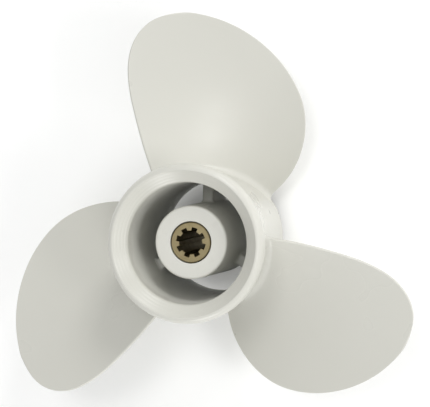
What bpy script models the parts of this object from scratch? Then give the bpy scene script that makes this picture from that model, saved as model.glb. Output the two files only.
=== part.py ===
"""Outboard propeller: three blades on a barrel that the engine's exhaust leaves through.

The shaft axis is +Z and points aft, so the barrel's open mouth faces up and its front
ring stands on z = 0.  The origin is on the axis.  Lengths are in metres.  One casting
carries the barrel, the inner hub, the webs and the blades; a rubber damper bonded round
a splined brass sleeve sits inside the inner hub and twists when the engine drives it.
"""

import math

import bmesh
import bpy
from mathutils import Vector

MM = 0.001

# Clearance between two pieces that touch, and the steps of a full turn
GAP = 0.3 * MM
TURN_STEPS = 96

# Propeller as a whole
TIP_RADIUS = 117.5 * MM
BLADE_COUNT = 3
FIRST_BLADE_ANGLE = math.radians(90)

# Outer barrel: a cone that flares to a rounded rim, with a turned cone in its mouth
BARREL_LENGTH = 85.0 * MM
BARREL_FRONT_RADIUS = 34.4 * MM
BARREL_AFT_RADIUS = 35.8 * MM
RIM_RADIUS = 39.7 * MM
RIM_DEPTH = 5.5 * MM
FLARE_LENGTH = 19.0 * MM
MOUTH_RADIUS = 36.4 * MM
MOUTH_DEPTH = 6.0 * MM
BORE_RADIUS = 30.3 * MM
FRONT_CHAMFER = 1.0 * MM

# Inner hub: the tube that holds the damper, closed aft by a shoulder round the sleeve
HUB_RECESS = 15.4 * MM
HUB_AFT_RADIUS = 18.5 * MM
HUB_FRONT_RADIUS = 20.0 * MM
HUB_FRONT_INSET = 5.0 * MM
HUB_EDGE_ROUND = 1.2 * MM
SHOULDER_THICKNESS = 12.0 * MM
DAMPER_BORE_RADIUS = 15.7 * MM
SHOULDER_CLEARANCE = 0.5 * MM

# Webs between the inner hub and the barrel, one in line with each blade
WEB_THICKNESS = 6.0 * MM
WEB_FRONT_INSET = 5.0 * MM
WEB_RECESS = 50.0 * MM

# Rubber damper and splined sleeve
DAMPER_FRONT_INSET = 7.0 * MM
DAMPER_END_CLEARANCE = 1.0 * MM
DAMPER_CHAMFER = 1.0 * MM
SLEEVE_RADIUS = 10.1 * MM
SLEEVE_FRONT_INSET = 3.0 * MM
SLEEVE_CHAMFER = 0.4 * MM
SPLINE_COUNT = 8
SPLINE_MAJOR_RADIUS = 7.55 * MM
SPLINE_MINOR_RADIUS = 5.9 * MM
SPLINE_GROOVE_SHARE = 0.53
SPLINE_FLANK_SHARE = 0.08
SPLINE_PHASE = math.radians(29.5)

# Blades: a screw surface of this pitch, leaning aft by the rake
PITCH = 219.5 * MM
PITCH_LOSS_TO_TIP = 12.7 * MM
PITCH_STATION = 0.7
RAKE = 0.082
BLADE_HEIGHT = 41.25 * MM
BLADE_HEIGHT_RADIUS = 41.5 * MM
ROOT_THICKNESS = 8.0 * MM
TIP_THICKNESS = 2.8 * MM
EDGE_THICKNESS = 1.8 * MM
CROWN_POWER = 2.2
ROOT_FILLET = 4.0 * MM

# Blade outline: share of the span, then the leading and the trailing edge in degrees
# from the blade's own line, counted towards the trailing edge
OUTLINE = (
    (0.000, -52.1, 34.9),
    (0.200, -49.4, 31.3),
    (0.400, -43.5, 28.3),
    (0.600, -34.7, 25.7),
    (0.750, -24.6, 23.1),
    (0.860, -14.9, 20.1),
    (0.940, -5.8, 16.4),
    (0.985, 1.6, 12.2),
    (1.000, 6.0, 6.0),
)

# How finely the curves are drawn
FLARE_STEPS = 8
RIM_STEPS = 5
HUB_EDGE_STEPS = 4
WEB_END_STEPS = 4
SPAN_STEPS = 20
FILLET_STEPS = 4
CHORD_STEPS = 18
EDGE_STEPS = 4
LAST_STATION = 0.97

HUB_AFT = BARREL_LENGTH - HUB_RECESS
SLEEVE_BORE_IN_HUB = SLEEVE_RADIUS + SHOULDER_CLEARANCE
ROOT_RADIUS = BARREL_AFT_RADIUS + GAP


def finish(name, colour, roughness, metallic=0.0):
    """A Principled BSDF material with one colour."""
    material = bpy.data.materials.new(name)
    material.use_nodes = True
    shader = material.node_tree.nodes["Principled BSDF"]
    shader.inputs["Base Color"].default_value = (*colour, 1.0)
    shader.inputs["Roughness"].default_value = roughness
    shader.inputs["Metallic"].default_value = metallic
    material.diffuse_color = (*colour, 1.0)
    return material


def add_object(name, shape, material, parent):
    """Turns a bmesh into a smooth-shaded object with closed, outward faces."""
    bmesh.ops.recalc_face_normals(shape, faces=shape.faces)
    mesh = bpy.data.meshes.new(name)
    shape.to_mesh(mesh)
    shape.free()
    mesh.shade_smooth()
    mesh.set_sharp_from_angle(angle=math.radians(35))
    mesh.materials.append(material)
    part = bpy.data.objects.new(name, mesh)
    bpy.context.scene.collection.objects.link(part)
    part.parent = parent
    return part


def add_axis(name, parent=None):
    """An empty on the shaft axis, which the pieces that turn together hang from."""
    axis = bpy.data.objects.new(name, None)
    axis.empty_display_type = "SINGLE_ARROW"
    axis.empty_display_size = BARREL_LENGTH
    bpy.context.scene.collection.objects.link(axis)
    axis.parent = parent
    return axis


def turned(profile):
    """Spins a closed profile of (radius, height) points once round the axis."""
    shape = bmesh.new()
    corners = [shape.verts.new((radius, 0.0, height)) for radius, height in profile]
    edges = [
        shape.edges.new((corner, corners[i - 1])) for i, corner in enumerate(corners)
    ]
    bmesh.ops.spin(
        shape,
        geom=corners + edges,
        axis=(0, 0, 1),
        cent=(0, 0, 0),
        angle=math.tau,
        steps=TURN_STEPS,
        use_merge=True,
    )
    return shape


def quarter_round(centre_radius, centre_height, across, along, steps):
    """Points of a quarter ellipse, from its widest point to its highest."""
    points = []
    for i in range(steps + 1):
        angle = i / steps * math.pi / 2
        radius = centre_radius + across * math.cos(angle)
        points.append((radius, centre_height + along * math.sin(angle)))
    return points


def barrel_outside(height):
    """Outer radius of the barrel at a height, up to its rim."""
    flare_start = BARREL_LENGTH - RIM_DEPTH - FLARE_LENGTH
    share = min(max(height / flare_start, 0.0), 1.0)
    radius = BARREL_FRONT_RADIUS + (BARREL_AFT_RADIUS - BARREL_FRONT_RADIUS) * share
    rise = min(max((height - flare_start) / FLARE_LENGTH, 0.0), 1.0)
    return radius + (RIM_RADIUS - BARREL_AFT_RADIUS) * (1 - math.cos(math.pi * rise)) / 2


def outer_barrel():
    """The barrel, with its flare, its rounded rim and the cone turned in its mouth."""
    rim_height = BARREL_LENGTH - RIM_DEPTH
    flare_start = rim_height - FLARE_LENGTH
    profile = [
        (BORE_RADIUS, 0.0),
        (BARREL_FRONT_RADIUS - FRONT_CHAMFER, 0.0),
        (barrel_outside(FRONT_CHAMFER), FRONT_CHAMFER),
        (BARREL_AFT_RADIUS, flare_start),
    ]
    for i in range(1, FLARE_STEPS):
        height = flare_start + FLARE_LENGTH * i / FLARE_STEPS
        profile.append((barrel_outside(height), height))
    profile += quarter_round(
        MOUTH_RADIUS, rim_height, RIM_RADIUS - MOUTH_RADIUS, RIM_DEPTH, RIM_STEPS
    )
    profile.append((BORE_RADIUS, BARREL_LENGTH - MOUTH_DEPTH))
    return turned(profile)


def hub_outside(height):
    """Outer radius of the inner hub at a height."""
    share = (height - HUB_FRONT_INSET) / (HUB_AFT - HUB_FRONT_INSET)
    return HUB_FRONT_RADIUS + (HUB_AFT_RADIUS - HUB_FRONT_RADIUS) * share


def inner_hub():
    """The inner hub: open in front for the damper, with a shoulder aft."""
    shoulder = HUB_AFT - SHOULDER_THICKNESS
    profile = [
        (DAMPER_BORE_RADIUS + DAMPER_CHAMFER, HUB_FRONT_INSET),
        (HUB_FRONT_RADIUS, HUB_FRONT_INSET),
    ]
    edge_height = HUB_AFT - HUB_EDGE_ROUND
    edge_radius = hub_outside(edge_height)
    profile += quarter_round(
        edge_radius - HUB_EDGE_ROUND,
        edge_height,
        HUB_EDGE_ROUND,
        HUB_EDGE_ROUND,
        HUB_EDGE_STEPS,
    )
    profile += [
        (SLEEVE_BORE_IN_HUB, HUB_AFT),
        (SLEEVE_BORE_IN_HUB, shoulder),
        (DAMPER_BORE_RADIUS, shoulder),
        (DAMPER_BORE_RADIUS, HUB_FRONT_INSET + DAMPER_CHAMFER),
    ]
    return turned(profile)


def web():
    """One web, drawn along +X: its ends follow the round hub and the round bore."""
    front = WEB_FRONT_INSET
    aft = BARREL_LENGTH - WEB_RECESS
    shape = bmesh.new()
    slices = []
    for i in range(WEB_END_STEPS + 1):
        across = WEB_THICKNESS * (i / WEB_END_STEPS - 0.5)
        corners = []
        for height, radius in (
            (front, hub_outside(front) + GAP),
            (front, BORE_RADIUS - GAP),
            (aft, BORE_RADIUS - GAP),
            (aft, hub_outside(aft) + GAP),
        ):
            reach = math.sqrt(radius**2 - across**2)
            corners.append(shape.verts.new((reach, across, height)))
        slices.append(corners)
    shape.faces.new(slices[0])
    shape.faces.new(slices[-1])
    for near, far in zip(slices, slices[1:]):
        for i in range(4):
            shape.faces.new((near[i - 1], near[i], far[i], far[i - 1]))
    return shape


def rubber_damper():
    """The damper: a thick tube with chamfered ends."""
    front = DAMPER_FRONT_INSET
    aft = HUB_AFT - SHOULDER_THICKNESS - DAMPER_END_CLEARANCE
    inside = SLEEVE_RADIUS + GAP
    outside = DAMPER_BORE_RADIUS - GAP
    profile = [
        (inside, front),
        (outside - DAMPER_CHAMFER, front),
        (outside, front + DAMPER_CHAMFER),
        (outside, aft - DAMPER_CHAMFER),
        (outside - DAMPER_CHAMFER, aft),
        (inside, aft),
    ]
    return turned(profile)


def spline_radius(share):
    """Radius of the splined bore at a share of one spline's pitch, groove first."""
    groove = SPLINE_GROOVE_SHARE
    flank = SPLINE_FLANK_SHARE
    from_middle = abs((share + 0.5) % 1.0 - 0.5)
    step = (from_middle - groove / 2 + flank / 2) / flank
    blend = min(max(step, 0.0), 1.0)
    return SPLINE_MAJOR_RADIUS + (SPLINE_MINOR_RADIUS - SPLINE_MAJOR_RADIUS) * blend


def spline_shares():
    """Where one spline's outline has a corner, as shares of its pitch."""
    groove = SPLINE_GROOVE_SHARE / 2
    flank = SPLINE_FLANK_SHARE / 2
    tooth = 0.5 - groove - flank
    right = [0.0, (groove - flank) / 2, groove - flank, groove + flank]
    right.append(groove + flank + tooth / 2)
    left = [-share for share in reversed(right[1:])]
    return left + right + [0.5]


def splined_sleeve():
    """The brass sleeve: a ring whose bore is the splined outline, drawn up in length."""
    shape = bmesh.new()
    aft = HUB_AFT
    rings = []
    for height, inset in (
        (SLEEVE_FRONT_INSET, SLEEVE_CHAMFER),
        (SLEEVE_FRONT_INSET + SLEEVE_CHAMFER, 0.0),
        (aft - SLEEVE_CHAMFER, 0.0),
        (aft, SLEEVE_CHAMFER),
    ):
        outside = []
        bore = []
        for spline in range(SPLINE_COUNT):
            for share in spline_shares():
                turn = (spline + share) / SPLINE_COUNT * math.tau + SPLINE_PHASE
                way = Vector((math.cos(turn), math.sin(turn), 0.0))
                up = Vector((0.0, 0.0, height))
                outside.append(shape.verts.new(way * (SLEEVE_RADIUS - inset) + up))
                bore.append(shape.verts.new(way * spline_radius(share) + up))
        rings.append((outside, bore))
    for (low_out, low_in), (high_out, high_in) in zip(rings, rings[1:]):
        for i in range(len(low_out)):
            shape.faces.new((low_out[i - 1], low_out[i], high_out[i], high_out[i - 1]))
            shape.faces.new((low_in[i], low_in[i - 1], high_in[i - 1], high_in[i]))
    for outside, bore in (rings[0], rings[-1]):
        for i in range(len(outside)):
            shape.faces.new((outside[i - 1], outside[i], bore[i], bore[i - 1]))
    return shape


def edge_angle(span_share, column):
    """Angle of a blade's edge, on a smooth curve through the outline's stations."""
    place = math.asin(min(max(span_share, 0.0), 1.0))
    knots = [(math.asin(row[0]), math.radians(row[column])) for row in OUTLINE]
    last = len(knots) - 1
    slopes = []
    for i in range(len(knots)):
        before = knots[max(i - 1, 0)]
        after = knots[min(i + 1, last)]
        slopes.append((after[1] - before[1]) / (after[0] - before[0]))
    i = max(k for k in range(last) if knots[k][0] <= place)
    width = knots[i + 1][0] - knots[i][0]
    u = (place - knots[i][0]) / width
    return (
        knots[i][1] * (1 + 2 * u) * (1 - u) ** 2
        + slopes[i] * width * u * (1 - u) ** 2
        + knots[i + 1][1] * u**2 * (3 - 2 * u)
        + slopes[i + 1] * width * u**2 * (u - 1)
    )


def pitch_at(radius):
    """Pitch of the blade's face at a radius."""
    return PITCH - PITCH_LOSS_TO_TIP * (radius / TIP_RADIUS - PITCH_STATION)


def face_height(radius, angle):
    """Height of the blade's after face at a radius and an angle from its line."""
    lean = RAKE * (radius - BLADE_HEIGHT_RADIUS)
    return BLADE_HEIGHT + pitch_at(radius) * angle / math.tau + lean


def section(radius, spread):
    """Loop of (angle, height) points round a blade's section at one radius.

    The section's after face lies on the screw surface; spread grows it all round, for
    the fillet at its root.
    """
    share = (radius - ROOT_RADIUS) / (TIP_RADIUS - ROOT_RADIUS)
    lead = edge_angle(share, 1)
    trail = edge_angle(share, 2)
    slope = math.atan(pitch_at(radius) / (math.tau * radius))
    chord = radius * (trail - lead) / math.cos(slope)
    thickest = ROOT_THICKNESS + (TIP_THICKNESS - ROOT_THICKNESS) * share
    nose = EDGE_THICKNESS / 2
    tip_depth = min((TIP_RADIUS - radius) / nose, 1.0)
    squeeze = math.sqrt(1 - (1 - tip_depth) ** 2)

    loop = []
    for i in range(CHORD_STEPS + 1):
        part = (1 - math.cos(math.pi * i / CHORD_STEPS)) / 2
        loop.append((nose + (chord - 2 * nose) * part, spread))
    for i in range(1, EDGE_STEPS):
        turn = math.pi * (0.5 - i / EDGE_STEPS)
        reach = nose + spread
        loop.append((chord - nose + reach * math.cos(turn), reach * math.sin(turn) - nose))
    for i in range(CHORD_STEPS + 1):
        part = (1 + math.cos(math.pi * i / CHORD_STEPS)) / 2
        crown = 1 - abs(2 * part - 1) ** CROWN_POWER
        back = EDGE_THICKNESS + (thickest - EDGE_THICKNESS) * crown + spread
        loop.append((nose + (chord - 2 * nose) * part, -back))
    for i in range(1, EDGE_STEPS):
        turn = math.pi * (1.5 - i / EDGE_STEPS)
        reach = nose + spread
        loop.append((nose + reach * math.cos(turn), reach * math.sin(turn) - nose))

    points = []
    for along, off in loop:
        off = (off + nose) * squeeze - nose
        on_face = lead + along * math.cos(slope) / radius
        angle = on_face - off * math.sin(slope) / radius
        points.append((angle, face_height(radius, on_face) + off * math.cos(slope)))
    return points


def blade_place(angle, height, rise):
    """Point of a blade this far out from its foot, which follows the barrel's outside."""
    share = rise / (TIP_RADIUS - ROOT_RADIUS)
    lift = (barrel_outside(height) + GAP - ROOT_RADIUS) * (1 - share)
    radius = ROOT_RADIUS + rise + lift
    return (radius * math.cos(angle), radius * math.sin(angle), height)


def close_section(shape, ring, points, rise):
    """Closes a blade's end with a grid that keeps to the round surface it lies on."""
    last = CHORD_STEPS
    count = len(ring)
    columns = [[ring[(count - j) % count] for j in range(EDGE_STEPS + 1)]]
    for i in range(last + 1):
        opposite = 2 * last + EDGE_STEPS - i
        column = [ring[i]]
        for j in range(1, EDGE_STEPS):
            middle = Vector(points[i]).lerp(Vector(points[opposite]), j / EDGE_STEPS)
            column.append(shape.verts.new(blade_place(*middle, rise)))
        columns.append(column + [ring[opposite]])
    columns.append([ring[last + j] for j in range(EDGE_STEPS + 1)])
    for near, far in zip(columns, columns[1:]):
        for j in range(EDGE_STEPS):
            corners = dict.fromkeys((near[j], far[j], far[j + 1], near[j + 1]))
            shape.faces.new(list(corners))


def blade():
    """One blade about +X, from the fillet at its foot to its tip."""
    rises = []
    for i in range(FILLET_STEPS):
        rises.append(ROOT_FILLET * (1 - math.cos(math.pi / 2 * i / FILLET_STEPS)))
    span = TIP_RADIUS - ROOT_RADIUS
    start = math.asin(ROOT_FILLET / span)
    end = math.pi / 2 * LAST_STATION
    for i in range(SPAN_STEPS + 1):
        rises.append(span * math.sin(start + (end - start) * i / SPAN_STEPS))

    shape = bmesh.new()
    rings = []
    for rise in rises:
        depth = max(1 - rise / ROOT_FILLET, 0.0)
        spread = ROOT_FILLET * (1 - math.sqrt(1 - depth**2))
        points = section(ROOT_RADIUS + rise, spread)
        ring = [shape.verts.new(blade_place(*point, rise)) for point in points]
        rings.append(ring)
        if rise in (rises[0], rises[-1]):
            close_section(shape, ring, points, rise)
    for near, far in zip(rings, rings[1:]):
        for i in range(len(near)):
            shape.faces.new((near[i - 1], near[i], far[i], far[i - 1]))
    return shape


def build_casting(parent):
    """The painted casting: barrel, inner hub, and a web and a blade for each third."""
    paint = finish("painted_aluminium", (0.69, 0.68, 0.62), 0.35)
    add_object("outer_barrel", outer_barrel(), paint, parent)
    add_object("inner_hub", inner_hub(), paint, parent)
    for i in range(BLADE_COUNT):
        turn = FIRST_BLADE_ANGLE + i * math.tau / BLADE_COUNT
        add_object(f"blade_{i + 1}", blade(), paint, parent).rotation_euler.z = turn
        add_object(f"web_{i + 1}", web(), paint, parent).rotation_euler.z = turn


def build_drive(parent):
    """The damper and the sleeve, which the shaft turns."""
    rubber = finish("black_rubber", (0.025, 0.025, 0.027), 0.75)
    brass = finish("brass", (0.44, 0.33, 0.16), 0.35, 1.0)
    add_object("rubber_damper", rubber_damper(), rubber, parent)
    add_object("splined_sleeve", splined_sleeve(), brass, parent)


def main():
    """Clears the scene and builds the propeller."""
    for old in list(bpy.data.objects):
        bpy.data.objects.remove(old, do_unlink=True)
    shaft_axis = add_axis("shaft_axis")
    build_drive(shaft_axis)
    build_casting(add_axis("casting_axis", shaft_axis))


main()
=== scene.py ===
"""Looks of the outboard propeller: painted casting, rubber damper, splined sleeve.

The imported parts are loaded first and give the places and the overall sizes.  Every
piece is then drawn again, finer, with the fillets, rounded edges and tool marks of the
real one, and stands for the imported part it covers.  Lengths are in metres.  The shaft
axis is +Z and points aft, and the barrel's front ring lies on z = 0.
"""

import logging
import math
from dataclasses import dataclass, field
from enum import Enum

import bmesh
import bpy
from mathutils import Matrix, Vector


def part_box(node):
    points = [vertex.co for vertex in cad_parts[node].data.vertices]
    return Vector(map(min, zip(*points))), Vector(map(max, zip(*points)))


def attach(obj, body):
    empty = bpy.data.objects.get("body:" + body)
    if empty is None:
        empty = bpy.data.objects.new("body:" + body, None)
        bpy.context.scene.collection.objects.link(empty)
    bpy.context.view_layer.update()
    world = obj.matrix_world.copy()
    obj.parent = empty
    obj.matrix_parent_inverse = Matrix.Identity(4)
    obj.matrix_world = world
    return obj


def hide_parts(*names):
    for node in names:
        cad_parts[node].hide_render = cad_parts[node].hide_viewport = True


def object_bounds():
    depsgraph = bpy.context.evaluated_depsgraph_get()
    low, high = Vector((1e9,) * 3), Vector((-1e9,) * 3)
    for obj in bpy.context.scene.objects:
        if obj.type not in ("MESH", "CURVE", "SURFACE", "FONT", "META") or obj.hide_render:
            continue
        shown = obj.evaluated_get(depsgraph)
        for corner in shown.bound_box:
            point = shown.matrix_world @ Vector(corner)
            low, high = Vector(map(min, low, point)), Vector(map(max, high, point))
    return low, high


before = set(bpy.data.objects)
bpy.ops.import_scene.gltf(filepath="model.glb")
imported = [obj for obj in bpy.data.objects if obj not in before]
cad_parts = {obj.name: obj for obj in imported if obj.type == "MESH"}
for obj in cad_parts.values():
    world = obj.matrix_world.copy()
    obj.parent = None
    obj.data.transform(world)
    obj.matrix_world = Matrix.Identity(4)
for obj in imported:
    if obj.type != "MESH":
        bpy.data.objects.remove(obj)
cad_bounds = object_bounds()

MM = 0.001

# How far a fillet leans at its foot: a little short of flat, so that it meets the wall
# along a clear line
FILLET_LEAN = math.radians(83)
MERGE_DISTANCE = 0.002 * MM
log = logging.getLogger("propeller")

Loop = list[Vector]
Profile = list[tuple[float, float]]


class Slot(Enum):
    """Material slots of the record."""

    PAINT = "painted_aluminium"
    BRASS = "brass"
    RUBBER = "black_rubber"


class Body(Enum):
    """Bodies of the frame that pieces ride on."""

    CASTING = "propeller"
    DRIVE = "drive_sleeve"


# ------------------------------------------------------------------------------------
# Small tools
# ------------------------------------------------------------------------------------


def linear(hex_colour: str) -> tuple[float, float, float, float]:
    """Turns an sRGB hex colour into the linear values that a shader takes.

    Args:
        hex_colour: Six hex digits after a hash sign.

    Returns:
        Red, green, blue and an alpha of one.
    """
    parts = []
    for i in (1, 3, 5):
        value = int(hex_colour[i : i + 2], 16) / 255
        low = value <= 0.04045
        parts.append(value / 12.92 if low else ((value + 0.055) / 1.055) ** 2.4)
    return (parts[0], parts[1], parts[2], 1.0)


def add_node(
    tree: bpy.types.NodeTree,
    kind: str,
    settings: dict | None = None,
    links: dict | None = None,
) -> bpy.types.Node:
    """Adds a node with its settings and its links.

    Args:
        tree: Node tree that gets the node.
        kind: Blender's name of the node's type.
        settings: Value for each property, or for each input by name or number.
        links: Output socket for each input by name or number.

    Returns:
        The new node.
    """
    node = tree.nodes.new(kind)
    for key, value in (settings or {}).items():
        if isinstance(key, str) and hasattr(node, key):
            setattr(node, key, value)
        else:
            node.inputs[key].default_value = value
    for key, output in (links or {}).items():
        tree.links.new(output, node.inputs[key])
    return node


def arc(
    centre: tuple[float, float],
    size: tuple[float, float],
    angles: tuple[float, float],
    steps: int,
) -> Profile:
    """Points of an elliptical arc in a profile.

    Args:
        centre: Radius and height of the arc's centre.
        size: Half widths along the radius and along the height.
        angles: First and last angle in degrees; 0 points away from the axis, 90 up.
        steps: Number of stretches.

    Returns:
        The points, both ends included.
    """
    points = []
    for i in range(steps + 1):
        turn = math.radians(angles[0] + (angles[1] - angles[0]) * i / steps)
        radius = centre[0] + size[0] * math.cos(turn)
        points.append((radius, centre[1] + size[1] * math.sin(turn)))
    return points


def ease(share: float) -> float:
    """Rises smoothly from 0 to 1 as share does."""
    share = min(max(share, 0.0), 1.0)
    return (1 - math.cos(math.pi * share)) / 2


def fillet_rings(radius: float, steps: int) -> list[tuple[float, float]]:
    """Stations of a fillet, from its foot on the wall to where the piece runs straight.

    Args:
        radius: Radius of the fillet.
        steps: Number of stations before the last one.

    Returns:
        Height over the wall and growth of the outline at each station.
    """
    rings = []
    for i in range(steps + 1):
        lean = FILLET_LEAN * (1 - i / steps)
        rings.append((radius * (1 - math.sin(lean)), radius * (1 - math.cos(lean))))
    return rings


def turned(name: str, profile: Profile, steps: int) -> bpy.types.Object:
    """Turns a closed profile: a circle drawn out from station to station.

    Args:
        name: Name of the piece.
        profile: Radius and height of each station, round the section.
        steps: Corners of each circle.

    Returns:
        A closed ring with its faces pointing out.
    """
    radius, height = profile[0]
    bpy.ops.object.select_all(action="DESELECT")
    bpy.ops.mesh.primitive_circle_add(
        vertices=steps, radius=radius, fill_type="NOTHING", location=(0, 0, height)
    )
    piece = bpy.context.object
    piece.name = name
    bpy.ops.object.mode_set(mode="EDIT")
    for next_radius, next_height in profile[1:] + profile[:1]:
        rise = {"value": (0, 0, next_height - height)}
        bpy.ops.mesh.extrude_region_move(TRANSFORM_OT_translate=rise)
        grow = next_radius / radius
        bpy.ops.transform.resize(
            value=(grow, grow, 1), center_override=(0, 0, next_height)
        )
        radius, height = next_radius, next_height
    close_up(piece)
    return piece


def close_up(piece: bpy.types.Object) -> None:
    """Merges a piece's doubles, turns its faces out and leaves edit mode."""
    bpy.ops.mesh.select_all(action="SELECT")
    bpy.ops.mesh.remove_doubles(threshold=MERGE_DISTANCE)
    bpy.ops.mesh.normals_make_consistent(inside=False)
    bpy.ops.object.mode_set(mode="OBJECT")
    bpy.ops.object.transform_apply(location=True, rotation=True, scale=True)
    piece.data.name = piece.name


def lofted(name: str, loops: list[Loop], seam: int) -> bpy.types.Object:
    """Skins loops of equal, even count, for the forms that no operator sweeps.

    Args:
        name: Name of the piece.
        loops: The loops in order; the first and the last are closed with narrow strips
            across, so that a closed end keeps the curve of the wall it lies in.
        seam: Number of the point that the strips start from.

    Returns:
        A closed solid with its faces pointing out.
    """
    shape = bmesh.new()
    rings = [[shape.verts.new(point) for point in loop] for loop in loops]
    for near, far in zip(rings, rings[1:]):
        for i in range(len(near)):
            shape.faces.new((near[i - 1], near[i], far[i], far[i - 1]))
    for ring in (rings[0], rings[-1]):
        for i in range(len(ring) // 2):
            strip = (seam + i, seam + i + 1, seam - i - 1, seam - i)
            corners = dict.fromkeys(ring[place % len(ring)] for place in strip)
            shape.faces.new(list(corners))
    bmesh.ops.recalc_face_normals(shape, faces=shape.faces)
    mesh = bpy.data.meshes.new(name)
    shape.to_mesh(mesh)
    shape.free()
    piece = bpy.data.objects.new(name, mesh)
    bpy.context.scene.collection.objects.link(piece)
    return piece


def dress(
    piece: bpy.types.Object,
    material: bpy.types.Material,
    body: Body,
    node: str,
    crease: float = 35.0,
) -> bpy.types.Object:
    """Shades a piece, gives it its finish and ties it to the frame.

    Args:
        piece: The finished piece, at the origin.
        material: Its finish.
        body: Body that the piece rides on.
        node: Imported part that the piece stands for.
        crease: Angle in degrees over which an edge stays sharp.

    Returns:
        The same piece.
    """
    piece.data.shade_smooth()
    piece.data.set_sharp_from_angle(angle=math.radians(crease))
    piece.data.materials.clear()
    piece.data.materials.append(material)
    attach(piece, body.value)
    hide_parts(node)
    log.info("%s: %d faces, stands for %s", piece.name, len(piece.data.polygons), node)
    return piece


def reach(node: str) -> float:
    """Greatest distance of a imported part's corners from the shaft axis."""
    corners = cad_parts[node].data.vertices
    return max(math.hypot(corner.co.x, corner.co.y) for corner in corners)


# ------------------------------------------------------------------------------------
# Finishes
# ------------------------------------------------------------------------------------


@dataclass(frozen=True)
class CastEnamel:
    """Off-white enamel sprayed on a die-cast aluminium alloy.

    Enamel gives the eye an even, slightly warm white with a soft gloss.  The spray
    reaches a little way into the passages and leaves the rest grey, bare and matt.
    Inside the barrel the colour is also painted lighter just below the mouth, as
    painted light, and darker with depth, as painted shade of the deep passages.
    """

    paint: str = "#CCCBC3"
    paint_thin: str = "#C8C7BE"
    # Lighter than the outside paint: painted light on the inside wall just below the mouth
    coat_painted_light: str = "#D8D7CF"
    # The next two greys are partly overspray and bare alloy, partly painted shade deep in
    # the passages
    overspray_and_painted_shade: str = "#CDCDC6"
    bare_alloy_and_painted_shade: str = "#A3A49F"
    speck: str = "#9A968A"
    cloud_size: float = 38.0 * MM
    cloud_band: tuple[float, float] = (0.35, 0.65)
    gloss_roughness: tuple[float, float] = (0.26, 0.36)
    bare_roughness: float = 0.62
    enamel_ior: float = 1.5
    coat_painted_light_share: float = 0.05
    overspray_and_painted_shade_share: float = 0.55
    fade_grain: float = 7.0 * MM
    fade_depth: float = 9.0 * MM
    peel_size: float = 1.8 * MM
    peel_depth: float = 0.012 * MM
    speck_spacing: float = 34.0 * MM
    speck_size: float = 0.35 * MM

    def material(
        self, inside_radius: float, fade: tuple[float, float]
    ) -> bpy.types.Material:
        """Makes the enamel.

        Args:
            inside_radius: Radius under which a surface is inside the barrel.
            fade: Heights at which the colour starts to fade, as thinning spray and
                painted shade, and where the fade is complete.

        Returns:
            The material.
        """
        material = bpy.data.materials.new("enamel_on_cast_aluminium")
        material.use_nodes = True
        tree = material.node_tree
        shader = tree.nodes["Principled BSDF"]
        place = add_node(tree, "ShaderNodeTexCoord").outputs["Object"]

        # Soft unevenness of the coat's colour, a hand's breadth across
        cloud = add_node(
            tree, "ShaderNodeTexNoise",
            {"Scale": 1 / self.cloud_size, "Detail": 2.0}, {"Vector": place},
        )
        coat = add_node(
            tree, "ShaderNodeMix",
            {"data_type": "RGBA", 6: linear(self.paint), 7: linear(self.paint_thin)},
            {0: cloud.outputs["Fac"]},
        )

        # Rare specks of dust under the coat
        cells = add_node(
            tree, "ShaderNodeTexVoronoi",
            {"Scale": 1 / self.speck_spacing}, {"Vector": place},
        )
        edge = self.speck_size / self.speck_spacing
        near = add_node(
            tree, "ShaderNodeMapRange",
            {"From Min": edge / 2, "From Max": edge, "To Min": 1.0, "To Max": 0.0},
            {"Value": cells.outputs["Distance"]},
        )
        specked = add_node(
            tree, "ShaderNodeMix",
            {"data_type": "RGBA", 7: linear(self.speck)},
            {0: near.outputs["Result"], 6: coat.outputs[2]},
        )

        # Inside the barrel the colour is painted lighter just below the mouth, as painted
        # light, then greys with depth, partly as overspray thinning to bare alloy and
        # partly as painted shade of the deep passages
        flat = add_node(
            tree, "ShaderNodeVectorMath",
            {"operation": "MULTIPLY", 1: (1.0, 1.0, 0.0)}, {0: place},
        )
        radius = add_node(
            tree, "ShaderNodeVectorMath",
            {"operation": "LENGTH"}, {0: flat.outputs["Vector"]},
        )
        inside = add_node(
            tree, "ShaderNodeMath",
            {"operation": "LESS_THAN", 1: inside_radius}, {0: radius.outputs["Value"]},
        )
        height = add_node(tree, "ShaderNodeSeparateXYZ", None, {0: place})
        grain = add_node(
            tree, "ShaderNodeTexNoise",
            {"Scale": 1 / self.fade_grain, "Detail": 4.0}, {"Vector": place},
        )
        ragged = add_node(
            tree, "ShaderNodeMath",
            {"operation": "MULTIPLY_ADD", 1: self.fade_depth},
            {0: grain.outputs["Fac"], 2: height.outputs["Z"]},
        )
        depth = add_node(
            tree, "ShaderNodeMapRange",
            {"From Min": fade[0], "From Max": fade[1]},
            {"Value": ragged.outputs["Value"]},
        )
        depth_fade = add_node(
            tree, "ShaderNodeMath", {"operation": "MULTIPLY"},
            {0: depth.outputs["Result"], 1: inside.outputs["Value"]},
        )
        depth_fade_amount = depth_fade.outputs["Value"]
        # Ramp: painted light at the top, then overspray and bare alloy darkened further as
        # painted shade
        ramp = add_node(tree, "ShaderNodeValToRGB", None, {"Fac": depth_fade_amount})
        ramp.color_ramp.elements[0].color = linear(self.coat_painted_light)
        ramp.color_ramp.elements[1].color = linear(self.bare_alloy_and_painted_shade)
        middle = ramp.color_ramp.elements.new(self.overspray_and_painted_shade_share)
        middle.color = linear(self.overspray_and_painted_shade)
        # Blends from the outside paint into the painted light just inside the mouth
        entered = add_node(
            tree, "ShaderNodeMapRange",
            {"From Max": self.coat_painted_light_share}, {"Value": depth_fade_amount},
        )
        colour = add_node(
            tree, "ShaderNodeMix", {"data_type": "RGBA"},
            {0: entered.outputs["Result"], 6: specked.outputs[2],
             7: ramp.outputs["Color"]},
        )
        tree.links.new(colour.outputs[2], shader.inputs["Base Color"])

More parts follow.
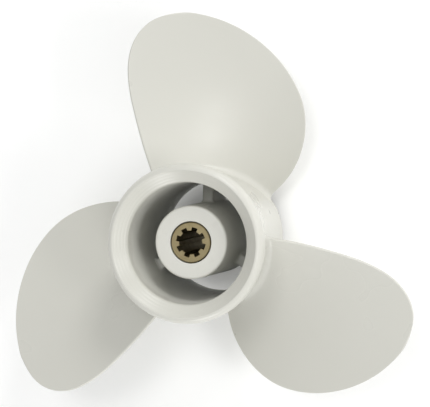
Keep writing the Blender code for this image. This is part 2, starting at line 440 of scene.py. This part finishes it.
        # Gloss: even on the enamel, matt where the alloy is bare
        gloss = add_node(
            tree, "ShaderNodeMapRange",
            {"From Min": self.cloud_band[0], "From Max": self.cloud_band[1],
             "To Min": self.gloss_roughness[0], "To Max": self.gloss_roughness[1]},
            {"Value": cloud.outputs["Fac"]},
        )
        roughness = add_node(
            tree, "ShaderNodeMix", {"data_type": "FLOAT", 3: self.bare_roughness},
            {0: depth_fade_amount, 2: gloss.outputs["Result"]},
        )
        tree.links.new(roughness.outputs[0], shader.inputs["Roughness"])
        shader.inputs["IOR"].default_value = self.enamel_ior

        # Orange peel of the spray
        peel = add_node(
            tree, "ShaderNodeTexNoise",
            {"Scale": 1 / self.peel_size, "Detail": 1.5}, {"Vector": place},
        )
        peeled = add_node(
            tree, "ShaderNodeBump",
            {"Strength": 1.0, "Distance": self.peel_depth},
            {"Height": peel.outputs["Fac"]},
        )
        tree.links.new(peeled.outputs["Normal"], shader.inputs["Normal"])
        return material


@dataclass(frozen=True)
class TurnedBrass:
    """Bar brass, faced and bored on a lathe: dull gold with fine rings."""

    clean: str = "#AEA07C"
    tarnish: str = "#85795A"
    stain_size: float = 4.0 * MM
    roughness: tuple[float, float] = (0.26, 0.48)
    ring_spacing: float = 0.35 * MM
    ring_depth: float = 0.006 * MM

    def material(self) -> bpy.types.Material:
        """Makes the brass."""
        material = bpy.data.materials.new("turned_brass")
        material.use_nodes = True
        tree = material.node_tree
        shader = tree.nodes["Principled BSDF"]
        shader.inputs["Metallic"].default_value = 1.0
        place = add_node(tree, "ShaderNodeTexCoord").outputs["Object"]
        stain = add_node(
            tree, "ShaderNodeTexNoise",
            {"Scale": 1 / self.stain_size, "Detail": 5.0}, {"Vector": place},
        )
        colour = add_node(
            tree, "ShaderNodeMix",
            {"data_type": "RGBA", 6: linear(self.clean), 7: linear(self.tarnish)},
            {0: stain.outputs["Fac"]},
        )
        tree.links.new(colour.outputs[2], shader.inputs["Base Color"])
        rough = add_node(
            tree, "ShaderNodeMapRange",
            {"To Min": self.roughness[0], "To Max": self.roughness[1]},
            {"Value": stain.outputs["Fac"]},
        )
        tree.links.new(rough.outputs["Result"], shader.inputs["Roughness"])
        # Rings of the facing cut, drawn coarser than a real feed so that they show
        rings = add_node(
            tree, "ShaderNodeTexWave",
            {"wave_type": "RINGS", "rings_direction": "Z",
             "Scale": math.tau / 20 / self.ring_spacing},
            {"Vector": place},
        )
        bump = add_node(
            tree, "ShaderNodeBump",
            {"Strength": 1.0, "Distance": self.ring_depth},
            {"Height": rings.outputs["Fac"]},
        )
        tree.links.new(bump.outputs["Normal"], shader.inputs["Normal"])
        return material


@dataclass(frozen=True)
class MouldedRubber:
    """Vulcanised natural rubber, moulded: black, matt and faintly bloomed."""

    fresh: str = "#1C1C1D"
    bloom: str = "#333230"
    cloud_size: float = 6.0 * MM
    roughness: float = 0.78
    grain_size: float = 0.6 * MM
    grain_depth: float = 0.02 * MM

    def material(self) -> bpy.types.Material:
        """Makes the rubber."""
        material = bpy.data.materials.new("moulded_rubber")
        material.use_nodes = True
        tree = material.node_tree
        shader = tree.nodes["Principled BSDF"]
        place = add_node(tree, "ShaderNodeTexCoord").outputs["Object"]
        cloud = add_node(
            tree, "ShaderNodeTexNoise",
            {"Scale": 1 / self.cloud_size, "Detail": 4.0}, {"Vector": place},
        )
        colour = add_node(
            tree, "ShaderNodeMix",
            {"data_type": "RGBA", 6: linear(self.fresh), 7: linear(self.bloom)},
            {0: cloud.outputs["Fac"]},
        )
        tree.links.new(colour.outputs[2], shader.inputs["Base Color"])
        shader.inputs["Roughness"].default_value = self.roughness
        grain = add_node(
            tree, "ShaderNodeTexNoise",
            {"Scale": 1 / self.grain_size}, {"Vector": place},
        )
        bump = add_node(
            tree, "ShaderNodeBump",
            {"Strength": 1.0, "Distance": self.grain_depth},
            {"Height": grain.outputs["Fac"]},
        )
        tree.links.new(bump.outputs["Normal"], shader.inputs["Normal"])
        return material


# ------------------------------------------------------------------------------------
# Casting
# ------------------------------------------------------------------------------------


@dataclass
class Barrel:
    """The outer barrel: a cone flared to a rounded rim, its mouth turned conical."""

    steps: int = 192
    length: float = field(default_factory=lambda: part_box("outer_barrel")[1].z)
    rim_radius: float = field(default_factory=lambda: reach("outer_barrel"))
    front_radius: float = 34.4 * MM
    aft_radius: float = 35.8 * MM
    rim_depth: float = 5.5 * MM
    flare_length: float = 19.0 * MM
    mouth_radius: float = 36.4 * MM
    mouth_depth: float = 6.0 * MM
    bore_radius: float = 30.3 * MM
    front_round: float = 1.0 * MM
    cone_groove_count: int = 4
    cone_groove_depth: float = 0.025 * MM
    # Places of a groove's near edge, bottom and far edge in its share of the cone
    cone_groove_marks: tuple[float, float, float] = (0.42, 0.5, 0.58)
    cone_edge: tuple[float, float] = (0.1 * MM, 0.12 * MM)
    step_width: float = 0.6 * MM
    step_round: float = 2.5 * MM
    lip_sweep: float = 82.0
    bore_edge_steps: int = 3
    front_edge_steps: int = 5
    cone_steps: int = 15
    flare_steps: int = 24
    lip_steps: int = 16
    step_steps: int = 8
    bore_steps: int = 20

    @property
    def flare_start(self) -> float:
        """Height at which the flare leaves the cone."""
        return self.length - self.rim_depth - self.flare_length

    def outside(self, height: float) -> float:
        """Outer radius at a height, up to the rim."""
        cone = min(max(height / self.flare_start, 0.0), 1.0)
        radius = self.front_radius + (self.aft_radius - self.front_radius) * cone
        flare = ease((height - self.flare_start) / self.flare_length)
        return radius + (self.rim_radius - self.aft_radius) * flare

    def profile(self) -> Profile:
        """Section of the barrel, from the front edge of its bore and up its outside."""
        edge = self.front_round
        inner = edge / 2
        rim_height = self.length - self.rim_depth
        centre = (self.bore_radius + inner, inner)
        points = arc(centre, (inner, inner), (180, 270), self.bore_edge_steps)
        centre = (self.outside(edge) - edge, edge)
        points += arc(centre, (edge, edge), (-90, 0), self.front_edge_steps)
        for i in range(1, self.cone_steps + 1):
            height = edge + (self.flare_start - edge) * i / self.cone_steps
            points.append((self.outside(height), height))
        for i in range(1, self.flare_steps):
            height = self.flare_start + self.flare_length * i / self.flare_steps
            points.append((self.outside(height), height))
        lip = (self.rim_radius - self.mouth_radius, self.rim_depth)
        sweep = (0, self.lip_sweep)
        points += arc((self.mouth_radius, rim_height), lip, sweep, self.lip_steps)
        return points + self.mouth()

    def mouth(self) -> Profile:
        """The cone turned in the mouth, its tool marks, its foot and the bore."""
        step = self.step_width
        foot_height = self.length - self.mouth_depth
        top = (self.mouth_radius - self.cone_edge[0], self.length - self.cone_edge[1])
        foot = (self.bore_radius + step, foot_height + step)
        near, bottom, far = self.cone_groove_marks
        points = []
        for i in range(self.cone_groove_count):
            for part, depth in ((0.0, 0.0), (near, 0.0), (bottom, 1.0), (far, 0.0)):
                share = (i + part) / self.cone_groove_count
                radius = top[0] + (foot[0] - top[0]) * share
                height = top[1] + (foot[1] - top[1]) * share
                cut = self.cone_groove_depth * depth
                points.append((radius + cut, height - cut))
        points.append(foot)
        turn = self.step_round
        centre = (self.bore_radius + turn, foot_height - turn + step)
        points += arc(centre, (turn, turn), (135, 180), self.step_steps)
        for i in range(1, self.bore_steps):
            share = 1 - i / self.bore_steps
            points.append((self.bore_radius, (foot_height - turn) * share))
        return points

    def build(self, enamel: bpy.types.Material) -> None:
        """Turns the barrel and dresses it."""
        piece = turned("painted_barrel", self.profile(), self.steps)
        dress(piece, enamel, Body.CASTING, "outer_barrel")


@dataclass
class InnerHub:
    """The inner hub: a tube open in front, with a faced shoulder round the sleeve."""

    steps: int = 128
    aft: float = field(default_factory=lambda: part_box("inner_hub")[1].z)
    front: float = field(default_factory=lambda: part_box("inner_hub")[0].z)
    front_radius: float = field(default_factory=lambda: reach("inner_hub"))
    aft_radius: float = 18.5 * MM
    edge_round: float = 1.2 * MM
    shoulder: float = 12.0 * MM
    damper_bore: float = 15.7 * MM
    sleeve_bore: float = 10.6 * MM
    sleeve_bore_chamfer: float = 0.25 * MM
    lead_in: float = 1.0 * MM
    front_round: float = 0.8 * MM
    side_steps: int = 20
    front_steps: int = 4
    edge_steps: int = 8

    def outside(self, height: float) -> float:
        """Outer radius at a height."""
        share = (height - self.front) / (self.aft - self.front)
        return self.front_radius + (self.aft_radius - self.front_radius) * share

    def profile(self) -> Profile:
        """Section of the hub, from the front edge of its bore and up its outside."""
        points = [(self.damper_bore + self.lead_in, self.front)]
        low = self.front + self.front_round
        size = (self.front_round, self.front_round)
        centre = (self.outside(low) - self.front_round, low)
        points += arc(centre, size, (-90, 0), self.front_steps)
        high = self.aft - self.edge_round
        for i in range(1, self.side_steps):
            height = low + (high - low) * i / self.side_steps
            points.append((self.outside(height), height))
        size = (self.edge_round, self.edge_round)
        centre = (self.outside(high) - self.edge_round, high)
        points += arc(centre, size, (0, 90), self.edge_steps)
        chamfer = self.sleeve_bore_chamfer
        points.append((self.sleeve_bore + chamfer, self.aft))
        points.append((self.sleeve_bore, self.aft - chamfer))
        points.append((self.sleeve_bore, self.aft - self.shoulder))
        points.append((self.damper_bore, self.aft - self.shoulder))
        points.append((self.damper_bore, self.front + self.lead_in))
        return points

    def build(self, enamel: bpy.types.Material) -> None:
        """Turns the hub and dresses it."""
        piece = turned("painted_inner_hub", self.profile(), self.steps)
        dress(piece, enamel, Body.CASTING, "inner_hub")


@dataclass
class Web:
    """One cast web between the hub and the barrel, filleted into both."""

    number: int
    turn: float
    barrel: Barrel
    hub: InnerHub
    thickness: float = 6.0 * MM
    fillet: float = 1.5 * MM
    edge_round: float = 1.2 * MM
    front: float = field(default_factory=lambda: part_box("web_1")[0].z)
    aft: float = field(default_factory=lambda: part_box("web_1")[1].z)
    sink: float = 1.0 * MM
    span_steps: int = 14
    fillet_steps: int = 6
    edge_steps: int = 4

    def section(self, spread: float) -> list[tuple[float, float]]:
        """Outline of the web, a box with rounded edges.

        Args:
            spread: How far the outline grows sideways and aft, for a fillet.

        Returns:
            Points across the web and along the axis.
        """
        edge = self.edge_round
        half = self.thickness / 2 + spread - edge
        points = []
        corners = ((half, self.aft + spread), (-half, self.aft + spread),
                   (-half, self.front + edge), (half, self.front + edge))
        for i, (across, height) in enumerate(corners):
            if i < 2:
                height -= edge
            sweep = (90 * i, 90 * i + 90)
            points += arc((across, height), (edge, edge), sweep, self.edge_steps)
        return points

    def loop(self, share: float, rise: float, spread: float) -> Loop:
        """Places a section between the round hub and the round bore.

        Args:
            share: Place on the way from the hub, 0, to the bore, 1.
            rise: How far the section is moved out from that place.
            spread: How far its outline grows, for a fillet.

        Returns:
            The points of the section.
        """
        points = []
        for across, height in self.section(spread):
            inner = self.hub.outside(height)
            outer = self.barrel.bore_radius
            radius = inner + (outer - inner) * share + rise
            along = math.sqrt(max(radius**2 - across**2, 0.0))
            points.append(Vector((along, across, height)))
        return points

    def build(self, enamel: bpy.types.Material) -> None:
        """Lofts the web from the hub to the barrel and dresses it."""
        gap = self.barrel.bore_radius - self.hub.outside(self.hub.aft)
        rings = fillet_rings(self.fillet, self.fillet_steps)
        feet = [(rise / gap, spread) for rise, spread in rings]
        loops = [self.loop(0.0, -self.sink, feet[0][1])]
        for share, spread in feet:
            loops.append(self.loop(share, 0.0, spread))
        first, last = feet[-1][0], 1 - feet[-1][0]
        for i in range(1, self.span_steps):
            share = first + (last - first) * i / self.span_steps
            loops.append(self.loop(share, 0.0, 0.0))
        for share, spread in reversed(feet):
            loops.append(self.loop(1 - share, 0.0, spread))
        loops.append(self.loop(1.0, self.sink, feet[0][1]))
        spin = Matrix.Rotation(self.turn, 3, "Z")
        loops = [[spin @ point for point in loop] for loop in loops]
        piece = lofted(f"painted_web_{self.number}", loops, seam=0)
        dress(piece, enamel, Body.CASTING, f"web_{self.number}")


@dataclass
class Blade:
    """One blade: a raked screw surface with a crowned back and round edges."""

    number: int
    turn: float
    barrel: Barrel
    tip_radius: float = field(default_factory=lambda: reach("blade_1"))
    pitch: float = 219.5 * MM
    pitch_loss: float = 12.7 * MM
    pitch_station: float = 0.7
    rake: float = 0.082
    middle_height: float = 41.25 * MM
    middle_radius: float = 41.5 * MM
    root_thickness: float = 8.0 * MM
    tip_thickness: float = 2.8 * MM
    edge_thickness: float = 1.8 * MM
    crown_power: float = 2.2
    fillet: float = 4.0 * MM
    sink: float = 1.5 * MM
    chord_steps: int = 48
    edge_steps: int = 8
    span_steps: int = 72
    fillet_steps: int = 10
    last_station: float = 0.992
    # Share of the span, then the leading and the trailing edge in degrees
    outline: tuple[tuple[float, float, float], ...] = (
        (0.000, -52.1, 34.9),
        (0.200, -49.4, 31.3),
        (0.400, -43.5, 28.3),
        (0.600, -34.7, 25.7),
        (0.750, -24.6, 23.1),
        (0.860, -14.9, 20.1),
        (0.940, -5.8, 16.4),
        (0.985, 1.6, 12.2),
        (1.000, 6.0, 6.0),
    )

    @property
    def root_radius(self) -> float:
        """Radius of the barrel that the blade stands on."""
        return self.barrel.aft_radius

    def edge_angle(self, share: float, column: int) -> float:
        """Angle of an edge, on a smooth curve through the outline's stations.

        Args:
            share: Place on the span.
            column: 1 for the leading edge and 2 for the trailing edge.

        Returns:
            The angle in radians.
        """
        place = math.asin(min(max(share, 0.0), 1.0))
        knots = [(math.asin(row[0]), math.radians(row[column])) for row in self.outline]
        last = len(knots) - 1
        slopes = []
        for i in range(len(knots)):
            before, after = knots[max(i - 1, 0)], knots[min(i + 1, last)]
            slopes.append((after[1] - before[1]) / (after[0] - before[0]))
        i = max(k for k in range(last) if knots[k][0] <= place)
        width = knots[i + 1][0] - knots[i][0]
        u = (place - knots[i][0]) / width
        return (
            knots[i][1] * (1 + 2 * u) * (1 - u) ** 2
            + slopes[i] * width * u * (1 - u) ** 2
            + knots[i + 1][1] * u**2 * (3 - 2 * u)
            + slopes[i + 1] * width * u**2 * (u - 1)
        )

    def pitch_at(self, radius: float) -> float:
        """Pitch of the after face at a radius."""
        station = radius / self.tip_radius
        return self.pitch - self.pitch_loss * (station - self.pitch_station)

    def face_height(self, radius: float, angle: float) -> float:
        """Height of the after face at a radius and an angle from the blade's line."""
        lean = self.rake * (radius - self.middle_radius)
        return self.middle_height + self.pitch_at(radius) * angle / math.tau + lean

    def section(self, radius: float, spread: float) -> list[tuple[float, float]]:
        """Outline of the blade's section at a radius.

        Args:
            radius: Distance from the shaft axis.
            spread: How far the outline grows all round, for the root's fillet.

        Returns:
            Angle and height of each point.
        """
        share = (radius - self.root_radius) / (self.tip_radius - self.root_radius)
        lead, trail = self.edge_angle(share, 1), self.edge_angle(share, 2)
        slope = math.atan(self.pitch_at(radius) / (math.tau * radius))
        chord = radius * (trail - lead) / math.cos(slope)
        taper = (self.tip_thickness - self.root_thickness) * min(max(share, 0.0), 1.0)
        thickest = self.root_thickness + taper
        nose = self.edge_thickness / 2
        tip_depth = min((self.tip_radius - radius) / nose, 1.0)
        squeeze = math.sqrt(1 - (1 - tip_depth) ** 2)
        flat = chord - 2 * nose
        round_reach = nose + spread

        outline = []
        for i in range(self.chord_steps + 1):
            part = (1 - math.cos(math.pi * i / self.chord_steps)) / 2
            outline.append((nose + flat * part, spread))
        for i in range(1, self.edge_steps):
            turn = math.pi * (0.5 - i / self.edge_steps)
            along = chord - nose + round_reach * math.cos(turn)
            outline.append((along, round_reach * math.sin(turn) - nose))
        for i in range(self.chord_steps + 1):
            part = (1 + math.cos(math.pi * i / self.chord_steps)) / 2
            crown = 1 - abs(2 * part - 1) ** self.crown_power
            back = self.edge_thickness + (thickest - self.edge_thickness) * crown
            outline.append((nose + flat * part, -back - spread))
        for i in range(1, self.edge_steps):
            turn = math.pi * (1.5 - i / self.edge_steps)
            along = nose + round_reach * math.cos(turn)
            outline.append((along, round_reach * math.sin(turn) - nose))

        points = []
        for along, off in outline:
            off = (off + nose) * squeeze - nose
            on_face = lead + along * math.cos(slope) / radius
            angle = on_face - off * math.sin(slope) / radius
            height = self.face_height(radius, on_face) + off * math.cos(slope)
            points.append((angle + self.turn, height))
        return points

    def loop(self, rise: float, spread: float) -> Loop:
        """Places a section on the round barrel.

        Args:
            rise: How far out it lies from the barrel's outside, below 0 in its wall.
            spread: How far its outline grows, for the root's fillet.

        Returns:
            The points of the section.
        """
        share = min(max(rise / (self.tip_radius - self.root_radius), 0.0), 1.0)
        radius = self.root_radius + max(rise, 0.0)
        points = []
        for angle, height in self.section(radius, spread):
            lift = (self.barrel.outside(height) - self.root_radius) * (1 - share)
            place = self.root_radius + rise + lift
            across, along = place * math.cos(angle), place * math.sin(angle)
            points.append(Vector((across, along, height)))
        return points

    def build(self, enamel: bpy.types.Material) -> None:
        """Lofts the blade from inside the barrel's wall to its tip and dresses it."""
        feet = fillet_rings(self.fillet, self.fillet_steps)[:-1]
        loops = [self.loop(-self.sink, feet[0][1])]
        for rise, spread in feet:
            loops.append(self.loop(rise, spread))
        span = self.tip_radius - self.root_radius
        start = math.asin(self.fillet / span)
        end = math.pi / 2 * self.last_station
        for i in range(self.span_steps + 1):
            rise = span * math.sin(start + (end - start) * i / self.span_steps)
            loops.append(self.loop(rise, 0.0))
        nose = -self.edge_steps // 2
        piece = lofted(f"painted_blade_{self.number}", loops, seam=nose)
        dress(piece, enamel, Body.CASTING, f"blade_{self.number}")


@dataclass
class Casting:
    """The painted casting: barrel, hub, and a blade and a web for each third."""

    blade_count: int = 3
    first_blade: float = math.radians(90)
    inside_margin: float = 0.4 * MM
    enamel: CastEnamel = field(default_factory=CastEnamel)

    def build(self) -> None:
        """Builds every piece of the casting."""
        barrel = Barrel()
        hub = InnerHub()
        enamel = self.enamel.material(
            inside_radius=barrel.bore_radius + self.inside_margin,
            fade=(barrel.length - barrel.mouth_depth, 0.0),
        )
        barrel.build(enamel)
        hub.build(enamel)
        for i in range(self.blade_count):
            turn = self.first_blade + i * math.tau / self.blade_count
            Blade(i + 1, turn, barrel).build(enamel)
            Web(i + 1, turn, barrel, hub).build(enamel)


# ------------------------------------------------------------------------------------
# Drive
# ------------------------------------------------------------------------------------


@dataclass
class SplinedSleeve:
    """The brass sleeve, turned from bar and broached with straight-sided splines."""

    steps_per_spline: int = 24
    splines: int = 8
    radius: float = field(default_factory=lambda: reach("splined_sleeve"))
    front: float = field(default_factory=lambda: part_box("splined_sleeve")[0].z)
    aft: float = field(default_factory=lambda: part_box("splined_sleeve")[1].z)
    minor_radius: float = 5.9 * MM
    major_radius: float = 7.55 * MM
    groove_share: float = 0.53
    phase: float = math.radians(29.5)
    chamfer: float = 0.4 * MM
    bore_steps: int = 12
    crease: float = 30.0

    def build(self, brass: bpy.types.Material) -> None:
        """Turns the blank, broaches its bore and dresses it."""
        cut = self.chamfer
        profile = [(self.minor_radius + cut / 2, self.front)]
        profile.append((self.minor_radius, self.front + cut / 2))
        for i in range(1, self.bore_steps):
            height = self.front + (self.aft - self.front) * i / self.bore_steps
            profile.append((self.minor_radius, height))
        profile.append((self.minor_radius, self.aft - cut / 2))
        profile.append((self.minor_radius + cut / 2, self.aft))
        profile.append((self.radius - cut, self.aft))
        profile.append((self.radius, self.aft - cut))
        profile.append((self.radius, self.front + cut))
        profile.append((self.radius - cut, self.front))
        sleeve = turned("brass_sleeve", profile, self.splines * self.steps_per_spline)
        self.broach(sleeve)
        dress(sleeve, brass, Body.DRIVE, "splined_sleeve", self.crease)

    def broach(self, sleeve: bpy.types.Object) -> None:
        """Draws the bore's corners out to the major radius along each groove."""
        half = self.groove_share / 2
        for corner in sleeve.data.vertices:
            radius = math.hypot(corner.co.x, corner.co.y)
            if radius > self.minor_radius + self.chamfer:
                continue
            turn = math.atan2(corner.co.y, corner.co.x) - self.phase
            share = turn / math.tau * self.splines
            if abs((share + 0.5) % 1.0 - 0.5) < half:
                grow = (self.major_radius + radius - self.minor_radius) / radius
                corner.co.x *= grow
                corner.co.y *= grow


@dataclass
class Damper:
    """The rubber damper, bonded round the sleeve."""

    steps: int = 128
    front: float = field(default_factory=lambda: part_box("rubber_damper")[0].z)
    aft: float = field(default_factory=lambda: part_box("rubber_damper")[1].z)
    outer_radius: float = field(default_factory=lambda: reach("rubber_damper"))
    inner_radius: float = field(default_factory=lambda: reach("splined_sleeve"))
    edge_round: float = 1.2 * MM
    edge_sweep: float = 60.0
    edge_steps: int = 4
    dish_depth: float = 1.4 * MM
    dish_steps: int = 8

    def dish(self, height: float, depth: float) -> Profile:
        """Section of a dished end, from the sleeve outwards.

        Args:
            height: Height of the end's edges.
            depth: How far its middle lies above them.

        Returns:
            The points of the dish.
        """
        middle = (self.inner_radius + self.outer_radius) / 2 - self.edge_round / 4
        half = (self.outer_radius - self.inner_radius - self.edge_round) / 2
        points = []
        for i in range(self.dish_steps + 1):
            turn = math.pi * i / self.dish_steps
            radius = middle - half * math.cos(turn)
            points.append((radius, height + depth * math.sin(turn)))
        return points

    def build(self, rubber: bpy.types.Material) -> None:
        """Turns the damper, its ends dished as moulded rubber is, and dresses it."""
        size = (self.edge_round, self.edge_round)
        side = self.outer_radius - self.edge_round
        low, high = self.front + self.edge_round, self.aft - self.edge_round
        profile = self.dish(self.front, self.dish_depth)
        profile += arc((side, low), size, (-self.edge_sweep, 0), self.edge_steps)
        profile += arc((side, high), size, (0, self.edge_sweep), self.edge_steps)
        profile += reversed(self.dish(self.aft, -self.dish_depth))
        piece = turned("damper_bush", profile, self.steps)
        dress(piece, rubber, Body.DRIVE, "rubber_damper")


# ------------------------------------------------------------------------------------
# Studio
# ------------------------------------------------------------------------------------


@dataclass(frozen=True)
class SoftBox:
    """One square soft box: where it hangs, seen from the propeller, and how bright.

    The lean is counted from the shaft axis and the azimuth about it, in degrees.
    """

    name: str
    lean: float
    azimuth: float
    light: float
    distance: float = 1.6
    size: float = 0.45

    def build(self, middle: Vector) -> None:
        """Hangs the soft box so that it faces the propeller.

        Args:
            middle: Point that it faces.
        """
        lean, azimuth = math.radians(self.lean), math.radians(self.azimuth)
        way = Vector((
            math.sin(lean) * math.cos(azimuth),
            math.sin(lean) * math.sin(azimuth),
            math.cos(lean),
        ))
        light = bpy.data.lights.new(self.name, "AREA")
        light.shape = "SQUARE"
        light.size = self.size
        # This power lights a white sheet that faces the box to the given share of white
        light.energy = self.light * (math.pi * self.distance) ** 2
        lamp = bpy.data.objects.new(self.name, light)
        lamp.location = middle + way * self.distance
        lamp.rotation_mode = "QUATERNION"
        lamp.rotation_quaternion = way.to_track_quat("Z", "Y")
        bpy.context.scene.collection.objects.link(lamp)


@dataclass(frozen=True)
class Studio:
    """A pale floor, an even sky and soft boxes."""

    floor_size: float = 6.0
    floor_drop: float = 8 * MM
    floor_colour: str = "#FDFDFC"
    sky_strength: float = 0.62
    sky_colour: str = "#FDFEFF"
    boxes: tuple[SoftBox, ...] = (
        SoftBox("key_box", 58, 68, 0.28),
        SoftBox("top_box", 15, 100, 0.18),
        SoftBox("right_box", 50, 350, 0.18),
        SoftBox("side_box", 76, 20, 0.15),
        SoftBox("low_box", 76, 275, 0.32),
    )

    def floor(self) -> None:
        """Lays the floor a little under the propeller, so that light gets below it."""
        bpy.ops.object.select_all(action="DESELECT")
        bpy.ops.mesh.primitive_plane_add(
            size=self.floor_size, location=(0, 0, -self.floor_drop)
        )
        floor = bpy.context.object
        floor.name = "studio_floor"
        material = bpy.data.materials.new("studio_paper")
        material.use_nodes = True
        shader = material.node_tree.nodes["Principled BSDF"]
        shader.inputs["Base Color"].default_value = linear(self.floor_colour)
        shader.inputs["Roughness"].default_value = 0.9
        floor.data.materials.append(material)

    def sky(self) -> None:
        """Fills the room with even light."""
        world = bpy.data.worlds.new("studio")
        world.use_nodes = True
        background = world.node_tree.nodes["Background"]
        background.inputs["Color"].default_value = linear(self.sky_colour)
        background.inputs["Strength"].default_value = self.sky_strength
        bpy.context.scene.world = world

    def build(self) -> None:
        """Builds the studio."""
        self.floor()
        self.sky()
        low, high = cad_bounds
        for box in self.boxes:
            box.build((low + high) / 2)
        bpy.context.scene.view_settings.view_transform = "Standard"


@dataclass(frozen=True)
class Camera:
    """The camera, almost straight down the barrel's mouth with a long lens."""

    aim_offset: tuple[float, float] = (15.6 * MM, 20.6 * MM)
    distance: float = 650.4 * MM
    azimuth: float = math.radians(99.84)
    elevation: float = math.radians(76.69)
    roll: float = math.radians(-1.56)
    lens: float = 111.9

    def build(self) -> None:
        """Places the camera, aimed at a point in the plane of the mouth."""
        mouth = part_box("outer_barrel")[1].z
        aim = Vector((*self.aim_offset, mouth))
        level = math.cos(self.elevation)
        back = Vector((
            math.sin(self.azimuth) * level,
            -math.cos(self.azimuth) * level,
            math.sin(self.elevation),
        ))
        right = Vector((0, 1, 0)).cross(back).normalized()
        up = back.cross(right)
        turn = Matrix((right, up, back)).transposed()
        turn = turn @ Matrix.Rotation(-self.roll, 3, "Z")
        data = bpy.data.cameras.new("camera")
        data.lens = self.lens
        data.clip_start = 0.01
        camera = bpy.data.objects.new("camera", data)
        place = Matrix.Translation(aim + back * self.distance)
        camera.matrix_world = place @ turn.to_4x4()
        bpy.context.scene.collection.objects.link(camera)
        bpy.context.scene.camera = camera


def main() -> None:
    """Builds the propeller and its studio."""
    logging.basicConfig(level=logging.INFO, format="%(name)s: %(message)s")
    Camera().build()
    Casting().build()
    SplinedSleeve().build(TurnedBrass().material())
    Damper().build(MouldedRubber().material())
    Studio().build()


if __name__ == "__main__":
    main()
